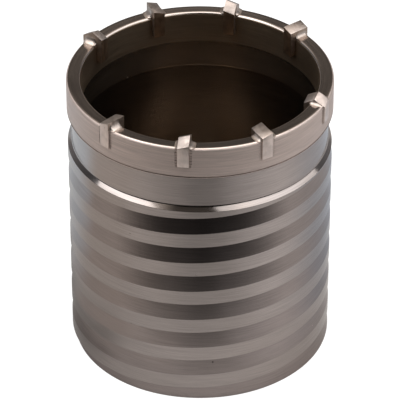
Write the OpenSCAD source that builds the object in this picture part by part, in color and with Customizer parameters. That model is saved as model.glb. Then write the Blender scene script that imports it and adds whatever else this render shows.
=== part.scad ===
// Core drill bit: a turned steel cup with a spiral dust groove, a crown ring
// on its neck and eight carbide tips brazed into slots in the crown.
// Units are millimetres. The origin is the centre of the base's underside,
// and +Z points towards the cutting end.

/* [Cup body] */
// Outside diameter of the cup, over the lands of the spiral
body_d = 88.8; // [78:0.1:108]
// Height of the full diameter, from the underside to the shoulder
body_h = 77; // [60:0.5:140]
// Thickness of the wall, from its bore to the lands
wall_t = 3.6; // [3.2:0.1:6]
// Width of the shoulder where the cup steps in to its neck
shoulder_w = 1.4; // [1:0.1:2.5]
// Height of the neck, from the shoulder to the crown ring
neck_h = 11.9; // [8:0.1:25]
// Thickness of the neck's wall
neck_t = 2.8; // [2:0.1:3.6]
// Radius of the inside corner between the shoulder and the neck
neck_fillet = 0.7; // [0.3:0.1:1.5]
// Depth of the narrower bore below the crown ring
neck_bore_h = 10; // [6:0.5:20]
// Thickness of the closed base, which holds the thread
base_t = 14; // [8:0.5:25]
// Radius of the fillet between the wall and the base, inside
base_fillet = 4; // [2:0.5:6]
// Chamfer round the foot of the cup
foot_chamfer = 0.5; // [0.2:0.1:1.5]

/* [Thread] */
// Bore through the base before the thread is cut
thread_bore_d = 20.4; // [14:0.1:30]
// Chamfer at both mouths of the thread
thread_chamfer = 1.2; // [0.5:0.1:2]

/* [Spiral groove] */
// Rise of the groove in one turn
groove_pitch = 11.6; // [10:0.1:16]
// Height of the groove's sloping floor
groove_w = 6.1; // [4:0.1:7]
// Depth of the groove at its upper edge
groove_depth = 1.4; // [0.6:0.1:1.8]
// Height of the uppermost land on the -Y side
first_land = 2.7; // [1:0.1:6]

/* [Crown ring] */
// How far the ring stands out past the neck
ring_over = 1.5; // [0.5:0.1:3]
// How far the ring stands in past the neck's bore
ring_lip = 0.6; // [0.2:0.1:2]
// Height of the ring
ring_h = 11.3; // [9.5:0.1:16]
// Radius of the round on both edges of the rim
rim_round = 1; // [0.6:0.1:1.6]
// Break on the ring's lower outer edge
ring_edge = 0.15; // [0.05:0.05:0.5]
// Width and depth of the fine line turned into the ring just above that edge
ring_line = 0.3; // [0.1:0.05:0.5]

/* [Carbide tips] */
// How far the tips stand proud of the ring's outside
tip_proud = 0.5; // [0.2:0.1:1]
// How far the tips reach in past the ring's bore
tip_inset = 2; // [1:0.1:3]
// Width of a tip, round the ring
tip_w = 3.8; // [3:0.1:5]
// Depth that a tip is let into the rim
tip_seat = 6.9; // [5:0.1:8]
// Slope of the top face, falling to the trailing side
relief_angle = 16; // [5:1:22]
// Slope of the two flanks of a pointed tip
flank_angle = 28; // [10:1:35]
// Break on the upright edges of a tip
tip_edge = 0.15; // [0.05:0.05:0.3]
// Angle of each tip round the ring
tip_angles = [-22.5, 38.5, 75, 111.5, 148.5, 226.3, 263, 299];
// Height of each tip's cutting edge above the rim
tip_lifts = [2.6, 3.3, 4.5, 3.2, 4.2, 2.5, 3.3, 2.3];
// Whether each tip is ground to a point, in turn with the flat ones
tip_pointed = [true, false, true, false, true, false, true, false];

/* [Braze] */
// Thickness of the braze on each side of a tip
braze_side = 0.9; // [0.3:0.1:1.2]
// Thickness of the braze under a tip
braze_under = 0.4; // [0.2:0.1:1]
// Radius of the slot's lower corners
slot_corner = 1; // [0.5:0.1:1.5]
// Radius of the braze fillet on each tip's leading face
lead_fillets = [2.2, 2, 2.4, 2.2, 2.4, 2.5, 2, 2];
// Radius of the braze fillet on each tip's trailing face
trail_fillets = [2, 1.4, 1.5, 1.6, 1.4, 1.2, 1.1, 1.8];
// How deep the fillets are rooted in the slot
fillet_root = 1.6; // [1:0.1:3]
// How far the fillets stop short of the ring's bore and outside
fillet_end = 0.7; // [0.7:0.1:1.8]
// How far the braze stays behind the ring's outside
braze_back = 0.1; // [0.05:0.05:0.3]

/* [Hidden] */
// Smoothness of round surfaces
$fn = 96;
// Steps of the spiral groove in one turn
GROOVE_STEPS = 40;
// Step of the arcs in flat outlines, in degrees
ARC_STEP = 15;
// How far a cutting tool runs past the surface that it cuts
over = 0.6;

// Radii
body_r = body_d / 2;
body_bore_r = body_r - wall_t;
neck_r = body_r - shoulder_w;
neck_bore_r = neck_r - neck_t;
ring_r = neck_r + ring_over;
ring_bore_r = neck_bore_r - ring_lip;
thread_r = thread_bore_d / 2;
tip_out_r = ring_r + tip_proud;
tip_in_r = ring_bore_r - tip_inset;
tip_mid_r = (tip_out_r + tip_in_r) / 2;

// Heights
shoulder_z = body_h + shoulder_w;
seat_z = shoulder_z + neck_h;
rim_z = seat_z + ring_h;
tip_foot_z = rim_z - tip_seat;
slot_z = tip_foot_z - braze_under;
slot_w = tip_w + 2 * braze_side;
neck_bore_z = seat_z - neck_bore_h;
groove_top_z = body_h - first_land;

TIPS = [1 : len(tip_angles)];

// Points of an arc about a centre, from one angle to another
function arc(centre, r, from, to) =
    let (steps = ceil(abs(to - from) / ARC_STEP))
    [for (i = [0 : steps])
        let (a = from + (to - from) * i / steps)
        centre + r * [cos(a), sin(a)]];

// Half section of the cup: round its outside, down its bore and through the base
function cup_outline() = concat(
    [[thread_r + thread_chamfer, 0], [body_r - foot_chamfer, 0], [body_r, foot_chamfer]],
    [[body_r, body_h]],
    arc([neck_r + neck_fillet, shoulder_z + neck_fillet * tan(22.5)], neck_fillet, 225, 180),
    [[neck_r, seat_z], [neck_bore_r, seat_z]],
    [[neck_bore_r, neck_bore_z], [body_bore_r, neck_bore_z - abs(body_bore_r - neck_bore_r)]],
    arc([body_bore_r - base_fillet, base_t + base_fillet], base_fillet, 0, -90),
    [[thread_r + thread_chamfer, base_t], [thread_r, base_t - thread_chamfer]],
    [[thread_r, thread_chamfer]]
);

// One section of the groove's cutter: the step under a land and the sloping floor below it
function groove_section(i) =
    let (
        top_z = i * groove_pitch / GROOVE_STEPS - over,
        a = (top_z - groove_top_z) / groove_pitch * 360 - 90,
        out_r = body_r + over,
        floor_r = body_r - groove_depth,
        drop = groove_w * (groove_depth + over) / groove_depth,
        side = [cos(a), sin(a)]
    )
    [
        [out_r * side.x, out_r * side.y, top_z],
        [floor_r * side.x, floor_r * side.y, top_z],
        [out_r * side.x, out_r * side.y, top_z - drop]
    ];

// The spiral groove as a solid, from under the foot to past the shoulder
module groove_helix() {
    steps = ceil((shoulder_z + groove_w + 3 * over) / groove_pitch * GROOVE_STEPS);
    points = [for (i = [0 : steps], p = groove_section(i)) p];
    sides = [for (i = [0 : steps - 1], k = [0 : 2])
        let (a = 3 * i + k, b = 3 * i + (k + 1) % 3)
        each [[a, b, a + 3], [b, b + 3, a + 3]]];
    polyhedron(points, concat([[2, 1, 0]], sides, [[3 * steps, 3 * steps + 1, 3 * steps + 2]]));
}

// Stands a flat outline, drawn round the ring and up, on the radius at a tip's angle
module across_wall(angle, from_r, to_r) {
    rotate([0, 0, angle])
        translate([to_r, 0, 0])
            rotate([90, 0, -90])
                mirror([1, 0, 0])
                    linear_extrude(to_r - from_r)
                        children();
}

// Outline of a slot with round lower corners, open at the top
module slot_outline(height) {
    side = slot_w / 2 - slot_corner;
    polygon(concat(
        arc([-side, slot_z + slot_corner], slot_corner, 180, 270),
        arc([side, slot_z + slot_corner], slot_corner, 270, 360),
        [[slot_w / 2, slot_z + height], [-slot_w / 2, slot_z + height]]
    ));
}

// Half section of the crown ring, kept back from its true outside by a margin
module ring_outline(back = 0) {
    out_r = ring_r - back;
    in_r = ring_bore_r + back;
    line_z = seat_z + 2 * ring_edge;
    polygon(concat(
        [[in_r, seat_z], [out_r - ring_edge, seat_z], [out_r, seat_z + ring_edge]],
        [[out_r, line_z], [out_r - ring_line, line_z]],
        [[out_r - ring_line, line_z + ring_line], [out_r, line_z + ring_line]],
        arc([out_r - rim_round, rim_z - rim_round], rim_round, 0, 90),
        arc([in_r + rim_round, rim_z - rim_round], rim_round, 90, 180)
    ));
}

// Upright block of a tip, with its edges broken
module tip_block(height) {
    half = tip_w / 2;
    translate([0, 0, tip_foot_z])
        linear_extrude(height)
            polygon([
                [tip_in_r + tip_edge, -half], [tip_out_r - tip_edge, -half],
                [tip_out_r, -half + tip_edge], [tip_out_r, half - tip_edge],
                [tip_out_r - tip_edge, half], [tip_in_r + tip_edge, half],
                [tip_in_r, half - tip_edge], [tip_in_r, -half + tip_edge]
            ]);
}

// The space under tip i's ground top: a long prism that falls to the trailing side
module tip_grind(i) {
    reach = tip_out_r - tip_in_r;
    drop = tip_pointed[i] ? reach * tan(flank_angle) : 0;
    depth = 3 * tip_seat;
    translate([tip_mid_r, tip_w / 2, rim_z + tip_lifts[i]])
        rotate([relief_angle, 0, 0])
            rotate([90, 0, 0])
                linear_extrude(4 * tip_w, center = true)
                    polygon([[-reach, -depth], [reach, -depth], [reach, -drop], [0, 0], [-reach, -drop]]);
}

// The cup: closed base with its thread, spiral wall, shoulder and neck in one piece
module cup_body() {
    color("#8d8784")
        difference() {
            rotate_extrude() polygon(cup_outline());
            // The groove stops at the shoulder, so that it leaves the neck whole
            intersection() {
                groove_helix();
                translate([0, 0, -over]) cylinder(h = shoulder_z + over, r = body_r + 2 * over);
            }
        }
}

// The ring that is brazed on the neck's end and slotted for the tips
module crown_ring() {
    color("#948d89")
        difference() {
            rotate_extrude() ring_outline();
            for (angle = tip_angles)
                across_wall(angle, ring_bore_r - over, ring_r + over)
                    slot_outline(2 * tip_seat);
        }
}

// One carbide tip, with its foot in the ring's slot and its top ground to an edge
module carbide_tip(i) {
    color("#7d7672")
        rotate([0, 0, tip_angles[i]])
            intersection() {
                tip_block(2 * tip_seat);
                tip_grind(i);
            }
}

// A concave fillet that climbs a tip's face from its seam, on the side that way points to
module braze_fillet(angle, radius, way) {
    root_z = rim_z - fillet_root;
    side = concat(
        arc([tip_w / 2 + radius, rim_z + radius], radius, 180, 270),
        [[slot_w / 2, rim_z], [slot_w / 2, root_z], [tip_w / 2, root_z]]
    );
    across_wall(angle, ring_bore_r + fillet_end, ring_r - fillet_end)
        polygon([for (p = side) [way * p.x, p.y]]);
}

// The braze that fills the rest of tip i's slot, with its fillets ground off level with the tip
module braze_seam(i) {
    angle = tip_angles[i];
    color("#b9a98f")
        difference() {
            union() {
                intersection() {
                    rotate_extrude() ring_outline(braze_back);
                    across_wall(angle, ring_bore_r - over, ring_r + over)
                        slot_outline(2 * tip_seat);
                }
                intersection() {
                    union() {
                        braze_fillet(angle, lead_fillets[i], 1);
                        braze_fillet(angle, trail_fillets[i], -1);
                    }
                    rotate([0, 0, angle]) tip_grind(i);
                }
            }
            rotate([0, 0, angle]) tip_block(2 * tip_seat);
        }
}

cup_body();
crown_ring();
for (i = TIPS) {
    carbide_tip(i - 1);
    braze_seam(i - 1);
}
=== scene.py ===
"""Visual model of a core drill bit.

A nickel-plated steel cup with a spiral dust groove and a threaded base carries a
crown ring on its neck, and eight carbide tips are brazed into the crown.

Lengths are in metres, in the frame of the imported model: the origin is the centre of
the base's underside, +Z points to the cutting end and -Y to the photograph's camera.
"""

import logging
import math
from contextlib import contextmanager
from dataclasses import dataclass, field
from enum import Enum
from typing import Callable, Iterator, Sequence

import bmesh
import bpy
import numpy as np
from mathutils import Matrix, Vector

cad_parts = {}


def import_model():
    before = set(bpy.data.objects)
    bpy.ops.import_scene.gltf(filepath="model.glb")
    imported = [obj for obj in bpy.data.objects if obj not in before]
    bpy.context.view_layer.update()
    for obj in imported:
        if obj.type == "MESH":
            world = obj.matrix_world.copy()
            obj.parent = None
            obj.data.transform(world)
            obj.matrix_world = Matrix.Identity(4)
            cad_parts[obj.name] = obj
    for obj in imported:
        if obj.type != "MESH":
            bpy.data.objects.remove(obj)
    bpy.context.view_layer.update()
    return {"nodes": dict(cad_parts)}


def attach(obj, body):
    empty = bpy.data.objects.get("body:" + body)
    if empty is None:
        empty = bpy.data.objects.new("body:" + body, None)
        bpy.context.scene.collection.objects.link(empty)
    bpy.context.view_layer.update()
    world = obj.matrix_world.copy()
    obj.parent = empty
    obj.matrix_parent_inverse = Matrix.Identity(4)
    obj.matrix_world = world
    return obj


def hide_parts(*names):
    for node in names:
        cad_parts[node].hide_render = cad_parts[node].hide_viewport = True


LOG = logging.getLogger("core_bit")
MM = 0.001
WELD = 0.002 * MM
BODY = "root"
WHITE = (1.0, 1.0, 1.0, 1.0)
Point = tuple[float, float]
Place = tuple[float, float, float]
Colour = tuple[float, float, float]
Piece = bpy.types.Object
Material = bpy.types.Material
Node = bpy.types.Node
Socket = bpy.types.NodeSocket


def arc(
    centre: Point, radius: float, start: float, end: float, steps: int = 8
) -> list[Point]:
    """Points along an arc of a flat outline.

    Args:
        centre: The arc's centre.
        radius: Its radius.
        start: Angle of the first point, in degrees.
        end: Angle of the last point, in degrees.
        steps: Number of facets.

    Returns:
        The points, one more than the facets.
    """
    angles = [start + (end - start) * step / steps for step in range(steps + 1)]
    ways = [(math.cos(math.radians(a)), math.sin(math.radians(a))) for a in angles]
    return [(centre[0] + radius * x, centre[1] + radius * y) for x, y in ways]


def grey(level: float) -> tuple[float, float, float, float]:
    """A grey as a colour socket takes it."""
    return (level, level, level, 1.0)


class Cut(Enum):
    """How a tool solid acts on a workpiece."""

    DIFFERENCE = "DIFFERENCE"
    INTERSECT = "INTERSECT"
    UNION = "UNION"


class Bench:
    """Modelling steps, each a thin wrapper round Blender's own mesh tools."""

    @staticmethod
    def clear() -> None:
        """Deselects every object, so that the next tool acts on its own piece alone."""
        bpy.ops.object.select_all(action="DESELECT")

    @staticmethod
    def take(piece: Piece) -> None:
        """Makes a piece the only selected and the active object."""
        Bench.clear()
        piece.select_set(True)
        bpy.context.view_layer.objects.active = piece

    @staticmethod
    @contextmanager
    def editing(piece: Piece, select_all: bool = False) -> Iterator[None]:
        """Opens a piece in edit mode for the length of a with block.

        Args:
            piece: The mesh object to edit.
            select_all: Whether everything starts selected, or nothing.
        """
        Bench.take(piece)
        bpy.ops.object.mode_set(mode="EDIT")
        bpy.ops.mesh.select_mode(type="VERT")
        bpy.ops.mesh.select_all(action="SELECT" if select_all else "DESELECT")
        yield
        bpy.ops.object.mode_set(mode="OBJECT")

    @staticmethod
    def pick(piece: Piece, choose: Callable[[Vector], bool], kind: str) -> None:
        """Selects edges or faces of a piece in edit mode by their place.

        Args:
            piece: The mesh object, in edit mode.
            choose: Says for the middle of an edge or face if it is meant.
            kind: EDGE or FACE.
        """
        bpy.ops.mesh.select_all(action="DESELECT")
        bpy.ops.mesh.select_mode(type=kind)
        mesh = bmesh.from_edit_mesh(piece.data)
        for part in mesh.edges if kind == "EDGE" else mesh.faces:
            corners = [vert.co for vert in part.verts]
            part.select_set(choose(sum(corners, Vector()) / len(corners)))
        mesh.select_flush_mode()
        bmesh.update_edit_mesh(piece.data)

    @staticmethod
    def modify(piece: Piece, kind: str, **settings: object) -> None:
        """Adds a modifier to a piece and applies it.

        Args:
            piece: The piece.
            kind: The modifier's type.
            **settings: The modifier's properties.
        """
        Bench.take(piece)
        bpy.ops.object.modifier_add(type=kind)
        step = piece.modifiers[-1]
        for name, value in settings.items():
            setattr(step, name, value)
        bpy.ops.object.modifier_apply(modifier=step.name)

    @staticmethod
    def face_out() -> None:
        """Turns every face of the piece in edit mode outwards."""
        bpy.ops.mesh.select_all(action="SELECT")
        bpy.ops.mesh.normals_make_consistent(inside=False)

    @staticmethod
    def extrude(
        step: Sequence[float],
        size: Sequence[float] = (1, 1, 1),
        centre: Sequence[float] = (0, 0, 0),
    ) -> None:
        """Extrudes what is selected in edit mode.

        Args:
            step: How far it goes along x, y and z.
            size: How many times as large it becomes.
            centre: The point that it grows from.
        """
        bpy.ops.mesh.extrude_region_move(TRANSFORM_OT_translate={"value": step})
        if tuple(size) != (1, 1, 1):
            bpy.ops.transform.resize(value=size, center_override=centre)

    @staticmethod
    def paint(
        piece: Piece,
        finishes: Sequence[Material],
        zone: Callable[[Vector, Vector], int],
    ) -> None:
        """Gives each face its finish.

        Args:
            piece: The piece.
            finishes: Its finishes.
            zone: Which of them a face takes, from its middle and its normal.
        """
        for finish in finishes:
            piece.data.materials.append(finish)
        for face in piece.data.polygons:
            face.material_index = zone(face.center, face.normal)

    @staticmethod
    def apply_place(piece: Piece) -> None:
        """Moves a piece's place, turn and size into its mesh."""
        Bench.take(piece)
        bpy.ops.object.transform_apply(location=True, rotation=True, scale=True)

    @staticmethod
    def lathe(name: str, outline: Sequence[Point], sides: int) -> Piece:
        """Turns a closed half section about Z by extruding a circle along it.

        Args:
            name: Name of the new piece.
            outline: Corners as (radius, height), in order round the section.
            sides: Facets round the axis.

        Returns:
            The turned solid.
        """
        Bench.clear()
        radius, height = outline[0]
        bpy.ops.mesh.primitive_circle_add(
            vertices=sides, radius=radius, location=(0, 0, height)
        )
        piece = bpy.context.object
        piece.name = name
        Bench.apply_place(piece)
        with Bench.editing(piece, select_all=True):
            for next_radius, next_height in [*outline[1:], outline[0]]:
                ratio = next_radius / radius
                Bench.extrude((0, 0, next_height - height), (ratio, ratio, 1))
                radius, height = next_radius, next_height
            bpy.ops.mesh.select_all(action="SELECT")
            bpy.ops.mesh.remove_doubles(threshold=WELD)
            Bench.face_out()
        return piece

    @staticmethod
    def wire(name: str, points: Sequence[Vector]) -> Piece:
        """Draws a closed wire by extruding one vertex from point to point.

        Args:
            name: Name of the wire.
            points: Its corners in order.

        Returns:
            The wire.
        """
        Bench.clear()
        bpy.ops.mesh.primitive_plane_add(size=MM, location=(0, 0, 0))
        piece = bpy.context.object
        piece.name = name
        with Bench.editing(piece, select_all=True):
            bpy.ops.mesh.merge(type="CENTER")
            bpy.ops.transform.translate(value=points[0])
            for here, there in zip(points, [*points[1:], points[0]]):
                Bench.extrude(there - here)
            bpy.ops.mesh.select_all(action="SELECT")
            bpy.ops.mesh.remove_doubles(threshold=WELD)
        return piece

    @staticmethod
    def screw(
        name: str, section: Sequence[Point], pitch: float, turns: int, steps: int
    ) -> Piece:
        """Sweeps a closed section along a right-hand screw into a solid tool.

        Args:
            name: Name of the tool.
            section: Its corners as (radius, height), at the start on the -Y side.
            pitch: Rise in one turn.
            turns: Number of turns.
            steps: Facets in one turn.

        Returns:
            The swept tool, with both its ends closed.
        """
        tool = Bench.wire(name, [Vector((0.0, -r, z)) for r, z in section])
        Bench.modify(
            tool,
            "SCREW",
            axis="Z",
            angle=math.tau,
            screw_offset=pitch,
            iterations=turns,
            steps=steps,
            render_steps=steps,
            use_merge_vertices=False,
        )
        with Bench.editing(tool, select_all=True):
            bpy.ops.mesh.fill_holes(sides=0)
            bpy.ops.mesh.select_all(action="SELECT")
            bpy.ops.mesh.quads_convert_to_tris()
            Bench.face_out()
        return tool

    @staticmethod
    def machine(work: Piece, tool: Piece, cut: Cut = Cut.DIFFERENCE) -> None:
        """Cuts a workpiece with a tool solid and puts the tool away.

        Args:
            work: The piece that is cut.
            tool: The solid that cuts it, which is deleted.
            cut: The kind of cut.
        """
        Bench.modify(work, "BOOLEAN", operation=cut.value, solver="EXACT", object=tool)
        bpy.data.objects.remove(tool)

    @staticmethod
    def deburr(piece: Piece, reach: float = 0.003 * MM) -> None:
        """Merges the doubled points and takes off the slivers that cuts leave.

        Args:
            piece: The piece after its last cut.
            reach: Points that are nearer than this become one.
        """
        with Bench.editing(piece, select_all=True):
            bpy.ops.mesh.remove_doubles(threshold=reach)
            bpy.ops.mesh.dissolve_degenerate(threshold=reach)
            bpy.ops.mesh.delete_loose()

    @staticmethod
    def copy(piece: Piece, name: str) -> Piece:
        """Copies a piece with a mesh of its own."""
        twin = piece.copy()
        twin.data = piece.data.copy()
        twin.name = name
        bpy.context.scene.collection.objects.link(twin)
        return twin

    @staticmethod
    def turn(piece: Piece, angle: float) -> None:
        """Turns a piece's mesh about the axis of the bit."""
        piece.data.transform(Matrix.Rotation(angle, 4, "Z"))

    @staticmethod
    def smooth(piece: Piece, degrees: float) -> None:
        """Shades a piece smooth, except over edges sharper than an angle."""
        Bench.take(piece)
        bpy.ops.object.shade_smooth_by_angle(angle=math.radians(degrees))

    @staticmethod
    def block(name: str, low: Place, high: Place) -> Piece:
        """Cuts a raw block, ready to be shaped.

        Args:
            name: Name of the block.
            low: Its corner with the least x, y and z.
            high: The opposite corner.

        Returns:
            The block.
        """
        Bench.clear()
        near, far = Vector(low), Vector(high)
        bpy.ops.mesh.primitive_cube_add(size=1.0, location=(near + far) / 2)
        piece = bpy.context.object
        piece.name = name
        piece.scale = far - near
        Bench.apply_place(piece)
        return piece

    @staticmethod
    def map_turning(piece: Piece) -> None:
        """Lays a UV map with U along the turned section and V round the axis.

        The tangents that follow from it run across the tool marks, which is the way
        that a turned surface spreads a highlight.

        Args:
            piece: The piece, with the axis of the bit as its Z axis.
        """
        across_size, round_scale = 40 * MM, 1.1
        mesh = piece.data
        layer = mesh.uv_layers.get("turning") or mesh.uv_layers.new(name="turning")
        uv = np.zeros((len(mesh.loops), 2), dtype=np.float32)
        for face in mesh.polygons:
            middle = face.center
            spin = math.atan2(middle.y, middle.x)
            across = face.normal.dot(Vector((math.cos(spin), math.sin(spin), 0)))
            rise = face.normal.z
            for loop in face.loop_indices:
                place = mesh.vertices[mesh.loops[loop].vertex_index].co
                angle = math.atan2(place.y, place.x) - spin
                angle = (angle + math.pi) % math.tau - math.pi
                radius = math.hypot(place.x, place.y)
                uv[loop] = (
                    (across * place.z - rise * radius) / across_size,
                    (spin + angle) * round_scale,
                )
        layer.data.foreach_set("uv", uv.ravel())

    @staticmethod
    def soften(
        outline: Sequence[Point], radius: float, steps: int, least_bend: float = 12.0
    ) -> list[Point]:
        """Rounds the corners of a flat outline.

        Args:
            outline: Corners in order.
            radius: Radius of the round, less at short sides.
            steps: Facets of each round.
            least_bend: Corners that bend by fewer degrees stay as they are.

        Returns:
            The outline with an arc in place of each corner.
        """
        result: list[Point] = []
        for index, corner in enumerate(outline):
            here = Vector(corner)
            before = Vector(outline[index - 1]) - here
            after = Vector(outline[(index + 1) % len(outline)]) - here
            bend = math.pi - before.angle(after)
            if bend < math.radians(least_bend):
                result.append(corner)
                continue
            reach = radius * math.tan(bend / 2)
            reach = min(reach, 0.4 * before.length, 0.4 * after.length)
            start = here + before.normalized() * reach
            end = here + after.normalized() * reach
            for step in range(steps + 1):
                t = step / steps
                point = start * (1 - t) ** 2 + here * 2 * t * (1 - t) + end * t**2
                result.append((point.x, point.y))
        return result


@dataclass(frozen=True)
class Fade:
    """A soft change from one value to another along a measure such as x."""

    along: str
    start: float
    end: float
    before: float = 0.0
    after: float = 1.0


class NodeSheet:
    """A node tree with short calls for the nodes that the finishes use."""

    def __init__(self, tree: bpy.types.NodeTree) -> None:
        """Wraps a node tree."""
        self.tree = tree

    def add(
        self,
        kind: str,
        inputs: dict[str | int, object] | None = None,
        **settings: object,
    ) -> Node:
        """Adds a node.

        Args:
            kind: Its type.
            inputs: What goes into its sockets, as in put().
            **settings: Its properties.

        Returns:
            The node.
        """
        node = self.tree.nodes.new(kind)
        for name, value in settings.items():
            setattr(node, name, value)
        self.put(node, inputs or {})
        return node

    def put(self, node: Node, inputs: dict[str | int, object]) -> None:
        """Sets a node's inputs.

        Args:
            node: The node.
            inputs: By socket, a plain value or an output that is linked to it.
        """
        for name, value in inputs.items():
            if isinstance(value, Socket):
                self.tree.links.new(value, node.inputs[name])
            else:
                node.inputs[name].default_value = value

    def math(self, operation: str, *values: object) -> Socket:
        """Adds a Math node and returns its output."""
        node = self.add("ShaderNodeMath", dict(enumerate(values)), operation=operation)
        return node.outputs[0]

    def chain(self, operation: str, first: object, *others: object) -> object:
        """Joins any number of values by one Math operation, from left to right."""
        for other in others:
            first = self.math(operation, first, other)
        return first

    def times(self, *values: object) -> object:
        """Multiplies values."""
        return self.chain("MULTIPLY", *values)

    def ramp(self, value: object, source: Point, target: Point) -> Socket:
        """Maps a value smoothly from one range to another, and holds it at the ends."""
        ends = {0: value, 1: source[0], 2: source[1], 3: target[0], 4: target[1]}
        node = self.add("ShaderNodeMapRange", interpolation_type="SMOOTHSTEP")
        self.put(node, ends)
        return node.outputs[0]

    def mask(self, measures: dict[str, Socket], *fades: Fade) -> object:
        """Multiplies fades.

        Args:
            measures: The outputs that fades may run along, by name.
            *fades: One fade or more.

        Returns:
            The output that holds their product.
        """
        return self.times(
            *[
                self.ramp(measures[f.along], (f.start, f.end), (f.before, f.after))
                for f in fades
            ]
        )

    def blend(self, factor: object, first: object, second: object) -> Socket:
        """Mixes two colours and returns the result."""
        node = self.add("ShaderNodeMix", data_type="RGBA")
        self.put(node, {0: factor, 6: first, 7: second})
        return node.outputs[2]

    def noise(
        self,
        vector: object,
        scale: object,
        detail: float,
        rough: float = 0.5,
        depth: object | None = None,
    ) -> Socket:
        """Adds a Noise Texture.

        Args:
            vector: The place.
            scale: The noise's fineness.
            detail: How many finer layers it has.
            rough: How strong they are.
            depth: The place in the fourth dimension, if it has one.

        Returns:
            The noise's factor.
        """
        size = "3D" if depth is None else "4D"
        node = self.add("ShaderNodeTexNoise", noise_dimensions=size)
        self.put(node, {"Vector": vector, "Scale": scale, "Detail": detail})
        self.put(node, {"Roughness": rough} | ({} if depth is None else {"W": depth}))
        return node.outputs[0]

    def for_camera(self, camera: Socket, others: Socket) -> Socket:
        """Shows the camera one shader and every other ray another."""
        ray = self.add("ShaderNodeLightPath").outputs["Is Camera Ray"]
        node = self.add("ShaderNodeMixShader", {0: ray, 1: others, 2: camera})
        return node.outputs[0]


class EffectShop:
    """Builds the node groups that more than one finish uses, each once."""

    @staticmethod
    def start(
        name: str, inputs: dict[str, float], outputs: Sequence[str]
    ) -> tuple[NodeSheet, Node, Node]:
        """Opens a new group, with a place and with plain numbers as sockets.

        Args:
            name: The group's name.
            inputs: The first value of each input besides the place.
            outputs: Names of the outputs.

        Returns:
            The group's sheet, its input node and its output node.
        """
        tree = bpy.data.node_groups.new(name, "ShaderNodeTree")
        tree.interface.new_socket(
            name="Place", in_out="INPUT", socket_type="NodeSocketVector"
        )
        for label, value in inputs.items():
            socket = tree.interface.new_socket(
                name=label, in_out="INPUT", socket_type="NodeSocketFloat"
            )
            socket.default_value = value
        for label in outputs:
            tree.interface.new_socket(
                name=label, in_out="OUTPUT", socket_type="NodeSocketFloat"
            )
        sheet = NodeSheet(tree)
        return sheet, sheet.add("NodeGroupInput"), sheet.add("NodeGroupOutput")

    @staticmethod
    def turned_grain() -> bpy.types.NodeTree:
        """The rings left by the lathe, which hardly change with the angle.

        Returns:
            The group, with a fine grain and with bands that are coarser.
        """
        name = "turned_grain"
        if name in bpy.data.node_groups:
            return bpy.data.node_groups[name]
        sheet, given, result = EffectShop.start(
            name, {"Fineness": 4500.0}, ("Fine", "Band")
        )
        drift, band_share = 3.0, 0.12
        parts = sheet.add("ShaderNodeSeparateXYZ", {0: given.outputs["Place"]})
        x, y, z = parts.outputs
        radius = sheet.math(
            "SQRT", sheet.math("ADD", sheet.times(x, x), sheet.times(y, y))
        )
        safe = sheet.math("MAXIMUM", radius, MM)
        across, ahead = [
            sheet.times(sheet.math("DIVIDE", side, safe), drift) for side in (x, y)
        ]
        fineness = given.outputs["Fineness"]
        for label, scale, detail, rough in (
            ("Fine", fineness, 3.0, 0.7),
            ("Band", sheet.times(fineness, band_share), 2.0, 0.6),
        ):
            place = sheet.add(
                "ShaderNodeCombineXYZ", {0: across, 1: ahead, 2: sheet.times(z, scale)}
            )
            depth = sheet.times(radius, scale)
            grain = sheet.noise(place.outputs[0], 1.0, detail, rough, depth)
            sheet.put(result, {label: grain})
        return sheet.tree

    @staticmethod
    def plate_clouding() -> bpy.types.NodeTree:
        """Soft clouds in the plating, with small dark pits and pale dust specks.

        Returns:
            The group, with the clouds, the pits and the dust as masks.
        """
        name = "plate_clouding"
        if name in bpy.data.node_groups:
            return bpy.data.node_groups[name]
        sheet, given, result = EffectShop.start(
            name, {"Cloud Size": 45.0, "Pit Size": 700.0}, ("Cloud", "Pit", "Dust")
        )
        place = given.outputs["Place"]
        cells = sheet.add("ShaderNodeTexVoronoi", {"Vector": place})
        sheet.put(cells, {"Scale": given.outputs["Pit Size"]})
        chance = sheet.add("ShaderNodeSeparateColor", {0: cells.outputs["Color"]})
        spot = sheet.ramp(cells.outputs["Distance"], (0.12, 0.3), (1.0, 0.0))
        cloud = sheet.noise(place, given.outputs["Cloud Size"], 4.0)
        sheet.put(result, {"Cloud": cloud})
        for draw, label, rarity in ((0, "Pit", 0.9992), (1, "Dust", 0.997)):
            lot = sheet.math("GREATER_THAN", chance.outputs[draw], rarity)
            sheet.put(result, {label: sheet.times(spot, lot)})
        return sheet.tree


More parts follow.
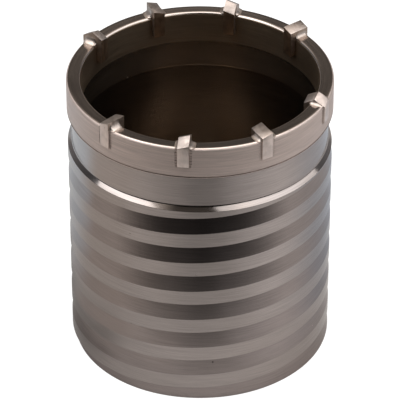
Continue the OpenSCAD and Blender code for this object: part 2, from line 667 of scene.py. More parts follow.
@dataclass(frozen=True)
class Finish:
    """What every finish of the nickel plate has."""

    name: str
    colour: Colour
    roughness: float
    metallic: float = field(default=1.0, kw_only=True)

    def shade(self, part: float) -> tuple[float, ...]:
        """A part of the colour's brightness, as a colour socket takes it."""
        return (*[c * part for c in self.colour], 1.0)

    def start(
        self, sizes: dict[str, float]
    ) -> tuple[Material, NodeSheet, Socket, Node]:
        """Opens the material.

        Args:
            sizes: Sizes of the clouds and pits, where they aren't the usual ones.

        Returns:
            The material, its sheet, the place on the piece and the plate's clouding.
        """
        material = bpy.data.materials.new(f"nickel_{self.name}")
        material.use_nodes = True
        sheet = NodeSheet(material.node_tree)
        place = sheet.add("ShaderNodeTexCoord").outputs["Object"]
        plate = sheet.add(
            "ShaderNodeGroup",
            {"Place": place, **sizes},
            node_tree=EffectShop.plate_clouding(),
        )
        return material, sheet, place, plate

    def finish(
        self,
        material: Material,
        colour: Socket,
        plate: Node,
        relief: dict[str, object],
        others: dict[str, object],
    ) -> Material:
        """Adds the pits and the relief, and fills in the shader.

        Args:
            material: The material.
            colour: Its colour without the pits.
            plate: The plate's clouding.
            relief: The inputs of the bump.
            others: The shader's other inputs.

        Returns:
            The finished material.
        """
        sheet = NodeSheet(material.node_tree)
        inputs = {
            "Base Color": sheet.blend(
                plate.outputs["Pit"], colour, (0.05, 0.04, 0.035, 1.0)
            ),
            "Metallic": self.metallic,
            "Normal": sheet.add("ShaderNodeBump", relief).outputs[0],
        }
        sheet.put(material.node_tree.nodes["Principled BSDF"], inputs | others)
        return material


@dataclass(frozen=True)
class TurnedNickel(Finish):
    """Nickel plate over turned steel, spread by the tool marks of the lathe."""

    anisotropy: float
    fineness: float = 4500.0
    marks: float = 0.025
    streaks: float = 0.13
    clouds: float = 0.06

    def make(self) -> Material:
        """Builds the material.

        Returns:
            The finished material.
        """
        material, sheet, place, plate = self.start({})
        grain = sheet.add(
            "ShaderNodeGroup",
            {"Place": place, "Fineness": self.fineness},
            node_tree=EffectShop.turned_grain(),
        )
        fine, band = grain.outputs["Fine"], grain.outputs["Band"]
        streaked = sheet.blend(
            sheet.ramp(fine, (0.3, 0.7), (0.0, 1.0)),
            self.shade(1 - 2 * self.streaks),
            self.shade(1.0),
        )
        clouded = sheet.blend(
            sheet.ramp(plate.outputs["Cloud"], (0.5, 0.75), (0.0, 0.6)),
            streaked,
            self.shade(1 - 2 * self.clouds),
        )
        spread = (self.roughness * 0.94, self.roughness * 1.06)
        rough = sheet.math(
            "ADD",
            sheet.ramp(band, (0.3, 0.7), spread),
            sheet.times(plate.outputs["Dust"], 0.2),
        )
        tangent = sheet.add(
            "ShaderNodeTangent", direction_type="UV_MAP", uv_map="turning"
        )
        return self.finish(
            material,
            clouded,
            plate,
            {"Strength": self.marks * 10, "Distance": 0.02 * MM, "Height": fine},
            {
                "Roughness": rough,
                "Anisotropic": self.anisotropy,
                "Tangent": tangent.outputs[0],
            },
        )


@dataclass(frozen=True)
class PlatedLump(Finish):
    """The same plate over ground tips and rippled braze."""

    ripple: float
    ripple_scale: float = 900.0
    upright: float = 1.0

    def make(self) -> Material:
        """Builds the material.

        Returns:
            The finished material.
        """
        material, sheet, place, plate = self.start(
            {"Cloud Size": 220.0, "Pit Size": 1100.0}
        )
        drawn = sheet.add(
            "ShaderNodeVectorMath",
            {0: place, 1: (1.0, 1.0, self.upright)},
            operation="MULTIPLY",
        )
        ripple = sheet.noise(drawn.outputs[0], self.ripple_scale, 3.0, 0.6)
        clouded = sheet.blend(
            sheet.ramp(plate.outputs["Cloud"], (0.4, 0.75), (0.0, 1.0)),
            self.shade(1.0),
            self.shade(0.72),
        )
        spread = (self.roughness * 0.8, self.roughness * 1.25)
        return self.finish(
            material,
            clouded,
            plate,
            {"Strength": self.ripple, "Distance": 0.1 * MM, "Height": ripple},
            {"Roughness": sheet.ramp(ripple, (0.3, 0.7), spread)},
        )


@dataclass
class CupBody:
    """The turned cup: threaded base, spiral wall, shoulder and neck in one piece."""

    body_r: float = 44.4 * MM
    body_h: float = 77.0 * MM
    bore_r: float = 40.8 * MM
    shoulder: float = 1.4 * MM
    seat_z: float = 90.3 * MM
    neck_fillet_r: float = 0.85 * MM
    neck_bore_r: float = 40.2 * MM
    neck_bore_z: float = 80.3 * MM
    base_t: float = 14.0 * MM
    base_fillet: float = 4.0 * MM
    foot_chamfer: float = 0.5 * MM
    thread_r: float = 10.2 * MM
    thread_depth: float = 0.8 * MM
    thread_pitch: float = 1.5 * MM
    thread_chamfer: float = 1.2 * MM
    groove_pitch: float = 11.6 * MM
    groove_w: float = 6.1 * MM
    groove_depth: float = 1.4 * MM
    groove_top_z: float = 74.3 * MM
    land_break: float = 0.18 * MM
    sides: int = 256

    @property
    def neck_r(self) -> float:
        """Outer radius of the neck."""
        return self.body_r - self.shoulder

    @property
    def shoulder_z(self) -> float:
        """Height of the neck's foot."""
        return self.body_h + self.shoulder

    def neck_fillet(self) -> list[Point]:
        """The concave corner that the tool's nose leaves between shoulder and neck."""
        radius = self.neck_fillet_r
        rise = radius * math.tan(math.radians(22.5))
        centre = (self.neck_r + radius, self.shoulder_z + rise)
        return arc(centre, radius, 225, 180, 6)

    def outline(self) -> list[Point]:
        """Lists the half section of the cup.

        Returns:
            Its corners as (radius, height), broken as a deburring tool does.
        """
        mouth = self.thread_r + self.thread_chamfer
        fillet = self.base_fillet
        corners = [
            (mouth, 0.0),
            (self.body_r - self.foot_chamfer, 0.0),
            (self.body_r, self.foot_chamfer),
            (self.body_r, self.body_h),
            *self.neck_fillet(),
            (self.neck_r, self.seat_z),
            (self.neck_bore_r, self.seat_z),
            (self.neck_bore_r, self.neck_bore_z),
            (self.bore_r, self.neck_bore_z - (self.bore_r - self.neck_bore_r)),
            *arc((self.bore_r - fillet, self.base_t + fillet), fillet, 0, -90),
            (mouth, self.base_t),
            (self.thread_r, self.base_t - self.thread_chamfer),
            (self.thread_r, self.thread_chamfer),
        ]
        return Bench.soften(corners, 0.12 * MM, 2)

    def spiral_tool(self) -> Piece:
        """The solid that turns the spiral groove: a steep step over a sloping floor.

        Returns:
            The tool, cut off level with the neck's foot.
        """
        out = 0.5 * MM
        turns, below = 9, 7
        start = self.groove_top_z - below * self.groove_pitch
        slope = self.groove_depth / self.groove_w
        section = [
            (self.body_r + out, start + self.land_break + out),
            (self.body_r - self.land_break, start),
            (self.body_r - self.groove_depth, start),
            (self.body_r + out, start - self.groove_w - out / slope),
        ]
        tool = Bench.screw("spiral_tool", section, self.groove_pitch, turns, 160)
        with Bench.editing(tool, select_all=True):
            bpy.ops.mesh.bisect(
                plane_co=(0, 0, self.shoulder_z),
                plane_no=(0, 0, 1),
                use_fill=True,
                clear_outer=True,
            )
            Bench.face_out()
        return tool

    def thread_tool(self) -> Piece:
        """The solid that cuts the arbor's thread into the bore of the base.

        Returns:
            The tool, which starts below the base and ends above it.
        """
        inner = self.thread_r - 0.3 * MM
        deep = self.thread_r + self.thread_depth
        crest = 0.12 * self.thread_pitch
        root = 0.42 * self.thread_pitch + 0.17 * MM
        start = -2 * self.thread_pitch
        section = [
            (inner, start - root),
            (deep, start - crest),
            (deep, start + crest),
            (inner, start + root),
        ]
        turns = math.ceil(self.base_t / self.thread_pitch) + 4
        return Bench.screw("thread_tool", section, self.thread_pitch, turns, 64)

    def zone(self, middle: Vector, normal: Vector) -> int:
        """Which finish a face takes.

        Args:
            middle: The middle of the face.
            normal: Its outward normal.

        Returns:
            0 land, 1 groove, 2 neck or foot, 3 chamfer, 4 bore, 5 neck bore.
        """
        near = 0.3 * MM
        radius = math.hypot(middle.x, middle.y)
        outward = (middle.x * normal.x + middle.y * normal.y) / max(radius, MM)
        if radius < self.bore_r + near or outward < -0.05:
            return 5 if middle.z > self.neck_bore_z - near else 4
        if middle.z < self.foot_chamfer or middle.z > self.shoulder_z - 0.02 * MM:
            return 2
        if middle.z > self.body_h - near and normal.z > 0.35:
            return 3
        if radius < self.body_r - 0.05 * MM or abs(normal.z) > 0.1:
            return 1
        return 0

    def build(self, finishes: Sequence[Material]) -> Piece:
        """Turns, grooves and threads the cup.

        Args:
            finishes: The materials of the zones, in the order that zone() gives.

        Returns:
            The finished piece.
        """
        cup = Bench.lathe("cup_shell", self.outline(), self.sides)
        Bench.machine(cup, self.spiral_tool())
        Bench.machine(cup, self.thread_tool())
        Bench.deburr(cup)
        with Bench.editing(cup):
            # the groove tool leaves a skin inside the wall, level with its own top
            Bench.pick(
                cup,
                lambda p: abs(p.z - self.shoulder_z) < 0.1 * MM
                and math.hypot(p.x, p.y) < self.neck_r - 0.3 * MM,
                "FACE",
            )
            bpy.ops.mesh.delete(type="FACE")
        Bench.paint(cup, finishes, self.zone)
        Bench.smooth(cup, 9.0)
        Bench.map_turning(cup)
        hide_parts("cup_body")
        return cup


@dataclass
class TipSeat:
    """Where one tip stands on the ring, and how it is ground."""

    number: int
    angle: float
    lift: float
    pointed: bool
    lead_bead: float
    trail_bead: float
    combed: bool


@dataclass(frozen=True)
class Gap:
    """A small gap in a seam's outer face, beside the tip and above the slot's foot."""

    name: str
    near: float
    far: float
    low: float
    high: float


@dataclass
class Crown:
    """The crown ring with its slots, the eight carbide tips and their braze."""

    ring_r: float = 44.5 * MM
    bore_r: float = 39.6 * MM
    seat_z: float = 90.3 * MM
    rim_z: float = 101.6 * MM
    rim_round: float = 1.0 * MM
    rim_dish: float = 4.0
    foot_break: float = 0.15 * MM
    line: float = 0.36 * MM
    tip_out_r: float = 45.0 * MM
    tip_in_r: float = 37.6 * MM
    tip_w: float = 3.8 * MM
    tip_foot_z: float = 94.7 * MM
    tip_middle_r: float = 42.0 * MM
    relief: float = 16.0
    flank: float = 28.0
    slot_w: float = 5.6 * MM
    slot_z: float = 94.3 * MM
    slot_corner: float = 1.0 * MM
    braze_back: float = 0.06 * MM
    bead_w: float = 2.1 * MM
    wedge_w: float = 14.0 * MM
    sides: int = 256
    tip_break: float = 0.08 * MM
    tip_stock: float = 8 * MM
    tip_fit: float = 0.02 * MM
    bead_root: float = 1.6 * MM
    bead_end: float = 0.15 * MM
    gap_depth: float = 0.4 * MM
    crack_pitch: float = 1.04 * MM
    cracks: int = 6
    gaps: tuple[Gap, ...] = (
        Gap("comb", -0.05 * MM, 0.13 * MM, 0.5 * MM, 6.5 * MM),
        Gap("crack", 0.17 * MM, 0.95 * MM, 1.4 * MM, 1.7 * MM),
        Gap("pit", 0.2 * MM, 0.6 * MM, 0.35 * MM, 0.75 * MM),
    )

    def seats(self) -> list[TipSeat]:
        """The tips in order round the ring, with the lift of each cutting edge."""
        angles = (-22.5, 38.5, 75.0, 111.5, 148.5, 226.3, 263.0, 299.0)
        lifts = (2.6, 3.3, 4.5, 3.2, 4.2, 2.5, 3.3, 2.3)
        leads = (2.2, 2.0, 2.4, 2.2, 2.4, 3.0, 2.0, 2.0)
        trails = (1.3, 1.4, 1.5, 1.6, 1.4, 1.2, 1.1, 1.7)
        return [
            TipSeat(
                i + 1,
                math.radians(angles[i]),
                lifts[i] * MM,
                i % 2 == 0,
                leads[i] * MM,
                trails[i] * MM,
                i != len(angles) - 1,
            )
            for i in range(len(angles))
        ]

    def ring_outline(self, back: float = 0.0) -> list[Point]:
        """Lists the half section of the ring, with a rim that is dished inwards.

        Args:
            back: How far it is kept back from the ring's true outside.

        Returns:
            Its corners as (radius, height).
        """
        out_r = self.ring_r - back
        in_r = self.bore_r + back
        top = self.rim_z - back
        radius = self.rim_round
        line_z = self.seat_z + 2 * self.foot_break
        lean = math.radians(self.rim_dish)
        flat = out_r - in_r - 2 * radius
        first = out_r - radius * (1 + math.sin(lean))
        last = in_r + radius
        start_z = top - radius * (1 - math.cos(lean))
        dish = [
            (
                first + (last - first) * part,
                start_z - math.tan(lean) * flat * (part - part * part / 2),
            )
            for part in (0.33, 0.67)
        ]
        low = top - math.tan(lean) * flat / 2
        return [
            (in_r, self.seat_z),
            (out_r - self.foot_break, self.seat_z),
            (out_r, self.seat_z + self.foot_break),
            (out_r, line_z),
            (out_r - self.line, line_z),
            (out_r - self.line, line_z + self.line),
            (out_r, line_z + self.line),
            *arc((out_r - radius, top - radius), radius, 0, 90 + self.rim_dish),
            *dish,
            *arc((last, low - radius), radius, 90, 180),
        ]

    def slot_tool(self, name: str, top: float) -> Piece:
        """A block as wide as a slot, with the slot's round lower corners.

        Args:
            name: Name of the tool.
            top: Height of its top.

        Returns:
            The tool, on the +X side.
        """
        half = self.slot_w / 2
        low = (self.bore_r - MM, -half, self.slot_z)
        tool = Bench.block(name, low, (self.ring_r + MM, half, top))
        with Bench.editing(tool):
            Bench.pick(
                tool,
                lambda p: abs(p.z - self.slot_z) < 0.01 * MM
                and abs(abs(p.y) - half) < 0.01 * MM,
                "EDGE",
            )
            bpy.ops.mesh.bevel(offset=self.slot_corner, segments=5, affect="EDGES")
        return tool

    def zone(self, middle: Vector, normal: Vector) -> int:
        """Which finish a face of the ring takes: 0 outside, 1 rim, 2 inside."""
        radius = math.hypot(middle.x, middle.y)
        outward = (middle.x * normal.x + middle.y * normal.y) / radius
        if outward < -0.8 or middle.z < self.seat_z + 0.01 * MM:
            return 2
        return 0 if outward > 0.6 and radius > self.ring_r - 0.5 * MM else 1

    def ring(self, finishes: Sequence[Material]) -> Piece:
        """Turns the ring and mills its eight slots.

        Args:
            finishes: The materials of the zones, in the order that zone() gives.

        Returns:
            The finished ring.
        """
        ring = Bench.lathe("crown_band", self.ring_outline(), self.sides)
        for seat in self.seats():
            tool = self.slot_tool("slot_tool", self.rim_z + MM)
            Bench.turn(tool, seat.angle)
            Bench.machine(ring, tool)
        Bench.paint(ring, finishes, self.zone)
        Bench.smooth(ring, 30.0)
        Bench.map_turning(ring)
        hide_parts("crown_ring")
        return ring

    def grind(self, piece: Piece, seat: TipSeat) -> None:
        """Grinds a piece's top down to the tip's cutting edge and flanks.

        Args:
            piece: The piece, standing on the +X side.
            seat: The tip's own grind.
        """
        middle = (self.tip_out_r + self.tip_in_r) / 2
        edge = Vector((middle, self.tip_w / 2, self.rim_z + seat.lift))
        relief = Matrix.Rotation(math.radians(self.relief), 3, "X")
        if seat.pointed:
            slopes = (math.radians(self.flank), -math.radians(self.flank))
        else:
            slopes = (0.0,)
        for slope in slopes:
            normal = relief @ Vector((math.sin(slope), 0.0, math.cos(slope)))
            with Bench.editing(piece, select_all=True):
                bpy.ops.mesh.bisect(
                    plane_co=edge, plane_no=normal, use_fill=True, clear_outer=True
                )

    def tip_zone(self, middle: Vector, normal: Vector) -> int:
        """Which finish a face of a tip takes: 0 outside, 1 top, 2 side, 3 inside.

        The top, side and inside take darker copies of one plate, as painted shade.
        """
        if normal.x < -0.8:
            return 3
        if abs(normal.y) > 0.8:
            return 2 if middle.z > self.rim_z or middle.x < self.tip_middle_r else 0
        return 1 if normal.z > 0.5 else 0

    def tip(self, seat: TipSeat, finishes: Sequence[Material]) -> Piece:
        """Shapes one carbide tip and sets it in its slot.

        Args:
            seat: The tip's place and grind.
            finishes: The materials of the zones, in the order that tip_zone() gives.

        Returns:
            The finished tip.
        """
        half = self.tip_w / 2
        tip = Bench.block(
            f"cutting_tip_{seat.number}",
            (self.tip_in_r, -half, self.tip_foot_z),
            (self.tip_out_r, half, self.rim_z + self.tip_stock),
        )
        self.grind(tip, seat)
        with Bench.editing(tip, select_all=True):
            bpy.ops.mesh.select_mode(type="EDGE")
            bpy.ops.mesh.bevel(
                offset=self.tip_break, segments=2, affect="EDGES", clamp_overlap=True
            )
            Bench.face_out()
            # edges for the zones: level with the rim, and halfway in
            for place, way in (
                ((0, 0, self.rim_z), (0, 0, 1)),
                ((self.tip_middle_r, 0, 0), (1, 0, 0)),
            ):
                bpy.ops.mesh.select_all(action="SELECT")
                bpy.ops.mesh.bisect(plane_co=place, plane_no=way)
        Bench.paint(tip, finishes, self.tip_zone)
        Bench.turn(tip, seat.angle)
        Bench.smooth(tip, 25.0)
        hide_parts(f"carbide_tip_{seat.number}")
        return tip

    def bead(self, seat: TipSeat, way: int) -> Piece:
        """A lump of braze between the rim and a tip's face, thinning out at both ends.

        Args:
            seat: The tip that it holds.
            way: 1 on the leading side, -1 on the trailing side.

        Returns:
            The bead, rooted in the slot.
        """
        radius = seat.lead_bead if way > 0 else seat.trail_bead
        width = min(radius, self.bead_w)
        half = self.tip_w / 2
        inner = half - 0.25 * MM
        turns = [math.pi / 2 * step / 8 for step in range(9)]
        root = self.rim_z - self.bead_root
        side = [
            (inner, self.rim_z + radius),
            *[
                (
                    half + width * (1 - math.cos(turn)),
                    self.rim_z + radius * (1 - math.sin(turn)),
                )
                for turn in turns
            ],
            (half + width, root),
            (inner, root),
        ]
        start = self.bore_r + self.bead_end
        bead = Bench.wire("bead", [Vector((start, way * y, z)) for y, z in side])
        slices = 12
        step = (self.ring_r - self.bore_r - 2 * self.bead_end) / slices
        corner = (start, way * half, self.rim_z)
        size = self.swell(0.0)
        with Bench.editing(bead, select_all=True):
            bpy.ops.mesh.edge_face_add()
            bpy.ops.transform.resize(value=(1, size, size), center_override=corner)
            for number in range(1, slices + 1):
                ratio = self.swell(number / slices) / size
                size *= ratio
                Bench.extrude((step, 0, 0), (1, ratio, ratio), corner)
            Bench.face_out()
        return bead

    @staticmethod
    def swell(place: float) -> float:
        """How large a bead is at a place along it, from 0 to 1."""
        return 0.35 + 0.65 * math.sqrt(max(0.0, 1 - (2 * place - 1) ** 4))

    def wedge(self, name: str, back: float) -> Piece:
        """Cuts out the stretch of the ring on the +X side.

        Args:
            name: Name of the stretch.
            back: How far it is kept back from the ring's true outside.

        Returns:
            The stretch.
        """
        half = self.wedge_w / 2
        low = (self.bore_r - 3 * MM, -half, self.seat_z - MM)
        high = (self.ring_r + MM, half, self.rim_z + MM)
        wedge = Bench.lathe(name, self.ring_outline(back), self.sides)
        Bench.machine(wedge, Bench.block("wedge_tool", low, high), Cut.INTERSECT)
        return wedge

    def braze_stock(self) -> tuple[Piece, Piece]:
        """Makes what every seam is made from.

        Returns:
            The fill of a slot, and the ring beside a slot.
        """
        fill = self.slot_tool("slot_fill", self.rim_z - self.braze_back)
        Bench.machine(fill, self.wedge("wedge", self.braze_back), Cut.INTERSECT)
        land = self.wedge("slot_land", 0.0)
        Bench.machine(land, self.slot_tool("slot_tool", self.rim_z + MM))
        return fill, land

    def comb_tool(self) -> Piece:
        """The small gaps that braze leaves in a seam's outer face.

        A thin line runs down each side of the tip, short cracks branch off it, and
        a pit lies at its foot.

        Returns:
            The tool, on the +X side.
        """
        face, foot = self.tip_w / 2, self.slot_z
        deep, far = self.ring_r - self.gap_depth, self.ring_r + 0.5 * MM
        parts = [
            Bench.block(
                gap.name,
                (deep, face + gap.near, foot + gap.low),
                (far, face + gap.far, foot + gap.high),
            )
            for gap in self.gaps
        ]
        comb, crack = parts[:2]
        with Bench.editing(crack, select_all=True):
            for _ in range(self.cracks - 1):
                bpy.ops.mesh.duplicate_move(
                    TRANSFORM_OT_translate={"value": (0, 0, self.crack_pitch)}
                )
        Bench.clear()
        for part in parts:
            part.select_set(True)
        bpy.context.view_layer.objects.active = comb
        bpy.ops.object.join()
        with Bench.editing(comb, select_all=True):
            bpy.ops.mesh.duplicate()
            bpy.ops.transform.resize(value=(1, -1, 1), center_override=(0, 0, 0))
            Bench.face_out()
        return comb

    @staticmethod
    def seam_zone(_: Vector, normal: Vector) -> int:
        """Which finish a face of a seam takes: 0 bead, 1 outside, 2 inside."""
        if abs(normal.x) <= 0.9:
            return 0
        return 1 if normal.x > 0 else 2

    def braze(
        self,
        seat: TipSeat,
        fill: Piece,
        land: Piece,
        comb: Piece,
        finishes: Sequence[Material],
    ) -> Piece:
        """Fills one slot round its tip with braze, with a bead on each side.

        Args:
            seat: The tip that the braze holds.
            fill: The fill of a slot, which is copied.
            land: The ring beside a slot, which the beads lie on.
            comb: The gaps in the outer face.
            finishes: The materials of the zones, in the order that seam_zone() gives.

        Returns:
            The finished seam.
        """
        seam = Bench.copy(fill, f"braze_joint_{seat.number}")
        for way in (1, -1):
            bead = self.bead(seat, way)
            self.grind(bead, seat)
            Bench.machine(bead, Bench.copy(land, "land_tool"))
            Bench.machine(seam, bead, Cut.UNION)
        half = self.tip_w / 2 - self.tip_fit
        low = (self.tip_in_r - MM, -half, self.tip_foot_z)
        high = (self.tip_out_r + MM, half, self.rim_z + self.tip_stock)
        Bench.machine(seam, Bench.block("core", low, high))
        if seat.combed:
            Bench.machine(seam, Bench.copy(comb, "comb_tool"))
        Bench.deburr(seam)
        Bench.paint(seam, finishes, self.seam_zone)
        Bench.turn(seam, seat.angle)
        Bench.map_turning(seam)
        Bench.smooth(seam, 30.0)
        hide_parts(f"braze_seam_{seat.number}")
        return seam


@dataclass(frozen=True)
class Softbox:
    """A soft lamp that points at the middle of the bit."""

    name: str
    bearing: float
    height: float
    distance: float
    width: float
    depth: float
    level: float

    def hang(self) -> Piece:
        """Hangs the lamp.

        Returns:
            The lamp's object.
        """
        Bench.clear()
        aim = Vector((0, 0, 0.06))
        bearing, height = math.radians(self.bearing), math.radians(self.height)
        way = Vector(
            (
                math.cos(bearing) * math.cos(height),
                math.sin(bearing) * math.cos(height),
                math.sin(height),
            )
        )
        bpy.ops.object.light_add(type="AREA", location=aim + way * self.distance)
        lamp = bpy.context.object
        lamp.name = self.name
        lamp.rotation_euler = way.to_track_quat("Z", "Y").to_euler()
        lamp.data.shape = "RECTANGLE"
        lamp.data.size = self.width
        lamp.data.size_y = self.depth
        lamp.data.energy = self.level * math.pi * self.width * self.depth
        return lamp


@dataclass(frozen=True)
class PaintedFloorLight:
    """A softly bounded patch of painted light or painted shadow on the floor.

    Its mask is the sum of the masks given, each a product of fades. An area whose tone
    changes has a second tone and the fade between the two.
    """

    tone: Colour
    masks: tuple[tuple[Fade, ...], ...]
    second: Colour = (0.0, 0.0, 0.0)
    between: Fade | None = None


NEAR_FOOT = Fade("span", 0.044, 0.1, 1.0, 0.0)
PAINTED_FLOOR_LIGHT = (
    # painted light right of the bit, less far out and cooler behind it
    PaintedFloorLight(
        (0.65, 0.655, 0.665),
        ((Fade("x", 0.03, 0.08), Fade("x", 0.1, 0.22, 1.0, 0.2)),),
        (0.45, 0.495, 0.555),
        Fade("y", -0.06, 0.03),
    ),
    # painted light and shade left of the bit, cooler and lighter behind it
    PaintedFloorLight(
        (0.475, 0.455, 0.435),
        ((Fade("x", -0.14, -0.03, 1.0, 0.0),),),
        (0.56, 0.63, 0.69),
        Fade("y", 0.0, 0.06),
    ),
    # a painted patch of light on the left in front
    PaintedFloorLight(
        (0.62, 0.61, 0.6),
        (
            (
                Fade("x", -0.16, -0.11, 0.0, 0.8),
                Fade("x", -0.06, -0.01, 1.0, 0.0),
                Fade("y", -0.1, -0.06, 1.0, 0.0),
            ),
        ),
    ),
    # a painted pool of light close to the foot, from the middle to the right
    PaintedFloorLight(
        (0.78, 0.77, 0.76),
        (
            (NEAR_FOOT, Fade("x", -0.06, -0.02, 0.0, 0.45)),
            (NEAR_FOOT, Fade("x", 0.0, 0.04, 0.0, 0.25)),
        ),
    ),
    # a painted shadow on the left of the foot
    PaintedFloorLight(
        (0.0, 0.0, 0.0),
        (
            (
                Fade("x", -0.075, -0.055, 0.0, 0.34),
                Fade("x", -0.05, -0.035, 1.0, 0.0),
                Fade("y", -0.05, -0.025),
            ),
        ),
    ),
)


@dataclass
class Studio:
    """Floor, lamps, surroundings and camera."""

    elevation: float = 34.744
    distance: float = 1.10164
    aim_z: float = 0.0511
    lens: float = 291.15
    hole_r: float = 11.6 * MM
    foot_r: float = 43.8 * MM
    reach: float = 5.0
    # the floor's tone for the metal: a plain grey, and a painted fall-off of light
    # towards the camera down to a dark level
    plain_level: float = 0.51
    dark_level: float = 0.014
    fall_start: float = 44 * MM
    fall_side: float = 0.17
    fall_length: float = 150 * MM
    fall_power: float = 1.4
    veil_level: float = 0.25
    glow_level: float = 0.9

    def camera(self) -> None:
        """Sets the camera at the photograph's viewing angle."""
        tilt = math.radians(self.elevation)
        bpy.ops.object.camera_add(
            location=(
                0,
                -self.distance * math.cos(tilt),
                self.aim_z + self.distance * math.sin(tilt),
            ),
            rotation=(math.pi / 2 - tilt, 0, 0),
        )
        camera = bpy.context.object
        camera.data.lens = self.lens
        camera.data.sensor_width = 36
        camera.data.clip_start = 0.01
        camera.data.dof.use_dof = False
        bpy.context.scene.camera = camera

    def floor_tone(self, sheet: NodeSheet, measures: dict[str, Socket]) -> Socket:
        """Mixes the tone that the floor has for the metal, which mirrors it.

        It is a plain grey with a few softly bounded patches of painted light and
        painted shadow, and a painted fall-off of light towards the camera, sooner at
        the sides.

        Args:
            sheet: The floor's sheet.
            measures: Where on the floor a point lies.

        Returns:
            The tone.
        """
        tone: object = grey(self.plain_level)
        for area in PAINTED_FLOOR_LIGHT:
            own: object = (*area.tone, 1.0)
            if area.between:
                change = sheet.mask(measures, area.between)
                own = sheet.blend(change, own, (*area.second, 1.0))
            masks = [sheet.mask(measures, *fades) for fades in area.masks]
            tone = sheet.blend(sheet.chain("ADD", *masks), tone, own)
        ahead = sheet.math(
            "MULTIPLY_ADD",
            sheet.math("ABSOLUTE", measures["x"]),
            -self.fall_side / self.fall_length,
            -self.fall_start / self.fall_length,
        )
        ahead = sheet.math("MULTIPLY_ADD", measures["y"], -1 / self.fall_length, ahead)
        ahead = sheet.math("MAXIMUM", ahead, 0.0)
        fall = sheet.times(sheet.math("POWER", ahead, self.fall_power), -1.0)
        return sheet.blend(sheet.math("EXPONENT", fall), grey(self.dark_level), tone)

    def floor_material(self) -> Material:
        """Builds the floor's material: white to the camera and clear from below.

        Returns:
            The finished material.
        """
        material = bpy.data.materials.new("pale_floor")
        material.use_nodes = True
        sheet = NodeSheet(material.node_tree)
        material.node_tree.nodes.remove(material.node_tree.nodes["Principled BSDF"])
        spot = sheet.add("ShaderNodeTexCoord").outputs["Object"]
        place = sheet.add("ShaderNodeSeparateXYZ", {0: spot})
        span = sheet.add("ShaderNodeVectorMath", {0: spot}, operation="LENGTH")
        measures = {
            "x": place.outputs[0],
            "y": place.outputs[1],
            "span": span.outputs["Value"],
        }
        tone = self.floor_tone(sheet, measures)
        # painted light: the floor glows for every ray but the camera's, more far off
        # and behind the bit
        far_floor_glow = sheet.mask(
            measures, Fade("span", 0.6, 1.4, 0.0, 0.3), Fade("y", -0.8, 0.2)
        )
        shown = [
            sheet.add(
                "ShaderNodeAddShader",
                {
                    0: sheet.add("ShaderNodeBsdfDiffuse", {"Color": colour}).outputs[0],
                    1: sheet.add(
                        "ShaderNodeEmission", {"Color": WHITE, "Strength": strength}
                    ).outputs[0],
                },
            ).outputs[0]
            for colour, strength in (
                (grey(self.veil_level), self.glow_level),
                (tone, far_floor_glow),
            )
        ]
        behind = sheet.add("ShaderNodeNewGeometry").outputs["Backfacing"]
        clear = sheet.add("ShaderNodeBsdfTransparent").outputs[0]
        surface = sheet.add(
            "ShaderNodeMixShader", {0: behind, 1: sheet.for_camera(*shown), 2: clear}
        )
        output = material.node_tree.nodes["Material Output"]
        sheet.put(output, {"Surface": surface.outputs[0]})
        return material

    def floor(self) -> None:
        """Lays a pale floor round the foot and in the bore, open under the base."""
        Bench.clear()
        bpy.ops.mesh.primitive_circle_add(
            vertices=256, radius=self.hole_r, fill_type="NGON"
        )
        floor = bpy.context.object
        floor.name = "floor"
        with Bench.editing(floor):
            bpy.ops.mesh.primitive_circle_add(vertices=256, radius=self.foot_r)
            ratio = self.reach / self.foot_r
            Bench.extrude((0, 0, 0), (ratio, ratio, 1))
        floor.data.materials.append(self.floor_material())

    def surroundings(self) -> None:
        """Gives the metal a soft room to mirror, dark towards the camera."""
        world = bpy.data.worlds.new("studio")
        bpy.context.scene.world = world
        world.use_nodes = True
        sheet = NodeSheet(world.node_tree)
        for node in list(world.node_tree.nodes):
            world.node_tree.nodes.remove(node)
        way = sheet.add(
            "ShaderNodeSeparateXYZ",
            {0: sheet.add("ShaderNodeTexCoord").outputs["Generated"]},
        )
        measures = {
            "aside": sheet.math("ABSOLUTE", way.outputs[0]),
            "y": way.outputs[1],
            "z": way.outputs[2],
        }
        walls, flank, canopy, ground, zenith = [
            sheet.mask(measures, *fades)
            for fades in (
                (Fade("y", -1.0, 0.3, 0.01, 0.27), Fade("z", 0.02, 0.5, 1.0, 0.25)),
                (Fade("z", 0.42, 0.62, 0.0, 0.6), Fade("aside", 0.25, 0.5)),
                (Fade("z", 0.52, 0.92), Fade("y", -0.2, 0.2)),
                (Fade("z", -0.2, -0.05, 0.5, 0.0),),
                (Fade("z", 0.7, 0.85, 0.0, 0.08),),
            )
        ]
        level = sheet.chain(
            "ADD", walls, sheet.math("MAXIMUM", flank, canopy), ground, zenith
        )
        tint = sheet.blend(
            sheet.mask(measures, Fade("aside", 0.3, 0.8)),
            (1.0, 0.9, 0.8, 1.0),
            (0.96, 0.98, 1.03, 1.0),
        )
        white, room = [
            sheet.add("ShaderNodeBackground", {"Color": colour, "Strength": strength})
            for colour, strength in ((WHITE, 1.0), (tint, level))
        ]
        chosen = sheet.for_camera(white.outputs[0], room.outputs[0])
        sheet.add("ShaderNodeOutputWorld", {"Surface": chosen})

    def build(self) -> None:
        """Builds the whole studio."""
        self.camera()
        self.floor()
        self.surroundings()
        for box in (
            Softbox("lamp_left", 195.5, 50.0, 1.0, 0.7, 0.85, 1.95),
            Softbox("lamp_right", -17.0, 42.0, 1.0, 1.5, 0.9, 1.32),
            Softbox("lamp_top", 90.0, 88.0, 0.95, 1.1, 0.6, 2.0),
        ):
            box.hang()
        bpy.context.scene.view_settings.view_transform = "Standard"


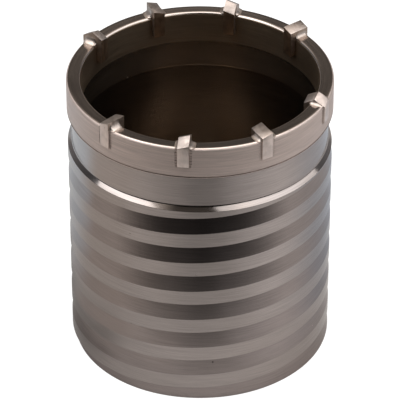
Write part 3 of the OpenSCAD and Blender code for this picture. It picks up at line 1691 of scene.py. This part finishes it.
def finish_set() -> dict[str, Material]:
    """Builds every finish of the bit.

    Returns:
        The materials by the name of their finish.
    """
    land = (0.46, 0.405, 0.38)
    # the grooves' colour, darker than the lands'
    darker_than_land = (0.37, 0.316, 0.298)
    warm = (0.76, 0.64, 0.585)
    finishes = (
        TurnedNickel("land", land, 0.17, 0.4),
        TurnedNickel("groove", darker_than_land, 0.11, 0.3),
        TurnedNickel("neck", (0.49, 0.43, 0.405), 0.18, 0.4),
        TurnedNickel("chamfer", land, 0.13, 0.3),
        # painted shade inside: the same nickel darkest deep in the bore, lighter in the
        # neck bore and the ring
        TurnedNickel("bore", (0.305, 0.25, 0.2), 0.22, 0.5),
        TurnedNickel("neck_bore", (0.5, 0.415, 0.33), 0.25, 0.5),
        TurnedNickel("ring_bore", (0.42, 0.32, 0.23), 0.38, 0.4),
        TurnedNickel("ring", warm, 0.6, 0.0, metallic=0.88),
        TurnedNickel("rim", (0.6, 0.525, 0.485), 0.17, 0.0, 2600.0, 0.06, 0.12, 0.24),
        # the tips' plate in four copies by the way a face points; the top, sides and
        # back are darker, painted shade
        PlatedLump("tip_face", (0.84, 0.72, 0.66), 0.44, 0.3, 2600.0, 0.06),
        PlatedLump("tip_top", (0.46, 0.395, 0.36), 0.4, 0.1),
        PlatedLump("tip_side", (0.44, 0.35, 0.29), 0.44, 0.1),
        PlatedLump("tip_back", (0.35, 0.24, 0.165), 0.44, 0.1),
        PlatedLump("braze", (0.56, 0.48, 0.43), 0.38, 0.25, 600.0),
    )
    return {finish.name: finish.make() for finish in finishes}


def main() -> None:
    """Builds the bit and its studio, piece by piece."""
    logging.basicConfig(level=logging.INFO, format="%(name)s: %(message)s")
    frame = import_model()
    LOG.info("frame of %d nodes", len(frame["nodes"]))
    Bench.clear()
    finishes = finish_set()
    cup_zones = [
        finishes[z] for z in ("land", "groove", "neck", "chamfer", "bore", "neck_bore")
    ]
    crown = Crown()
    ring_zones = [finishes[z] for z in ("ring", "rim", "ring_bore")]
    tip_zones = [finishes[z] for z in ("tip_face", "tip_top", "tip_side", "tip_back")]
    seam_zones = [finishes[z] for z in ("braze", "ring", "ring_bore")]
    pieces = [CupBody().build(cup_zones), crown.ring(ring_zones)]
    fill, land = crown.braze_stock()
    comb = crown.comb_tool()
    for seat in crown.seats():
        pieces.append(crown.tip(seat, tip_zones))
        pieces.append(crown.braze(seat, fill, land, comb, seam_zones))
    for stock in (fill, land, comb):
        bpy.data.objects.remove(stock)
    for piece in pieces:
        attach(piece, BODY)
        LOG.info("%s: %d faces", piece.name, len(piece.data.polygons))
    Studio().build()


if __name__ == "__main__":
    main()
